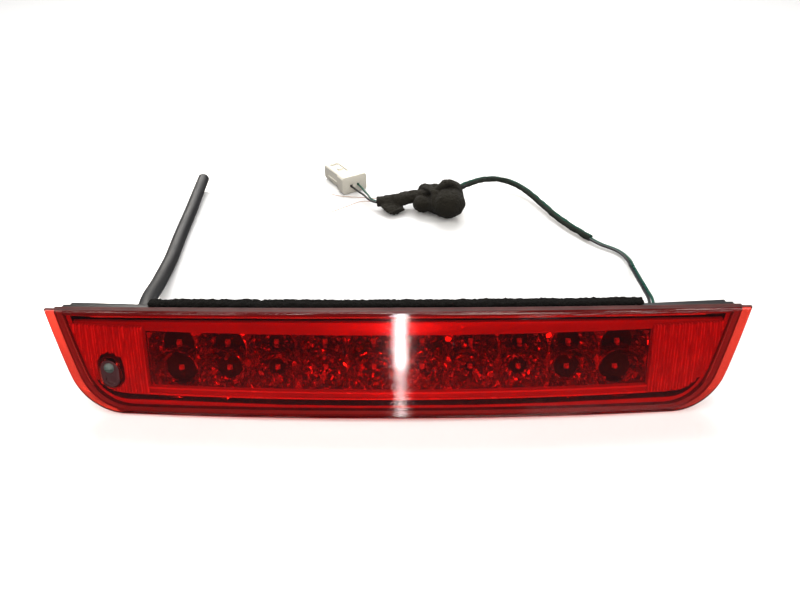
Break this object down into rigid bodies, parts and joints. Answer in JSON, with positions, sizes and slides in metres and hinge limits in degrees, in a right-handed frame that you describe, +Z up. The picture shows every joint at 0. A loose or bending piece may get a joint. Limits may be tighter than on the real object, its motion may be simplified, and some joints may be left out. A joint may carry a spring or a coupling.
{
  "type": "third brake light",
  "caption": "High-mounted brake light bar with red lens, LED reflector cells, washer nozzle, hose and wiring loom with plug.",
  "frame": {"origin": "on the standing surface, under the middle of the lamp's box without its loose leads", "axes": "+X along the lamp with the washer nozzle at -X, the lens faces -Y, the mounting studs point to +Y, +Z up"},
  "size_m": [0.3418, 0.3017, 0.0535],
  "materials": {
    "red_lens": "clear red moulded acrylic, glossy, fine scratches",
    "black_housing": "black moulded plastic, fine grain",
    "lens_adhesive": "weld bead, dark red",
    "inner_bezel": "smooth dark bezel",
    "metallised_reflector": "vacuum metallised",
    "fluted_optic": "clear fluted optic over metallising",
    "board_laminate": "green solder mask",
    "led_resin": "clear resin in a white body",
    "component_black": "moulded component",
    "zinc_screw": "zinc plated",
    "tinned_brass": "tin plated brass",
    "black_rubber": "soft black rubber",
    "black_foam": "open-pored black foam",
    "zinc_stud": "yellow zinc plated, threaded",
    "nozzle_plastic": "dark moulded plastic",
    "jet_plastic": "grey-green moulded plastic",
    "black_plastic": "moulded plastic",
    "hose_rubber": "extruded rubber, matte",
    "spring_steel": "plated spring band",
    "wire_green": "green wire insulation",
    "wire_black": "black wire insulation",
    "fleece_tape": "wound fleece tape",
    "wrap_foam": "fleece-faced foam wrap",
    "ivory_nylon": "natural nylon",
    "ivory_lock": "natural nylon",
    "bare_copper": "bare copper strand"
  },
  "bodies": {
    "lamp": {"lens": "red_lens", "housing": "black_housing", "weld_bead": "lens_adhesive", "bezel": "inner_bezel", "reflector": "metallised_reflector", "flutes_left": "fluted_optic", "flutes_right": "fluted_optic", "circuit_board": "board_laminate", "leds": "led_resin", "led_resistors": "component_black", "led_diode": "component_black", "board_screws": "zinc_screw", "board_terminals": "tinned_brass", "inner_leads": "wire_green", "wire_grommet": "black_rubber", "top_foam": "black_foam", "bottom_foam": "black_foam", "mounting_studs": "zinc_stud", "stud_foams": "black_foam", "vent_cap": "black_rubber", "nozzle_body": "nozzle_plastic", "nozzle_seal": "black_rubber", "nozzle_nut": "black_plastic", "washer_hose": "hose_rubber", "hose_clip": "spring_steel", "green_wire": "wire_green", "black_wire": "wire_black", "wire_tape": "fleece_tape", "foam_wrap": "wrap_foam", "plug_housing": "ivory_nylon", "plug_terminals": "tinned_brass", "copper_strand_far": "bare_copper", "copper_strand_near": "bare_copper"},
    "jet": {"jet_ball": "jet_plastic"},
    "plug_lock": {"lock_arm": "ivory_nylon"},
    "plug_retainer": {"terminal_lock": "ivory_lock"}
  },
  "joints": [
    {"name": "jet_aim", "type": "hinge", "parent": "lamp", "child": "jet", "pos_m": [-0.1403, -0.01433, 0.0229], "axis": [1, 0, 0], "range_deg": [-10, 10]},
    {"name": "lock_press", "type": "hinge", "parent": "lamp", "child": "plug_lock", "pos_m": [-0.05606, 0.26435, 0.0104], "axis": [0.8387, 0.5446, 0], "range_deg": [0, 4], "stiffness_Nm_per_rad": 0.02},
    {"name": "terminal_lock_slide", "type": "slide", "parent": "lamp", "child": "plug_retainer", "axis": [-0.8387, -0.5446, 0], "range_m": [0, 0.0015]}
  ]
}
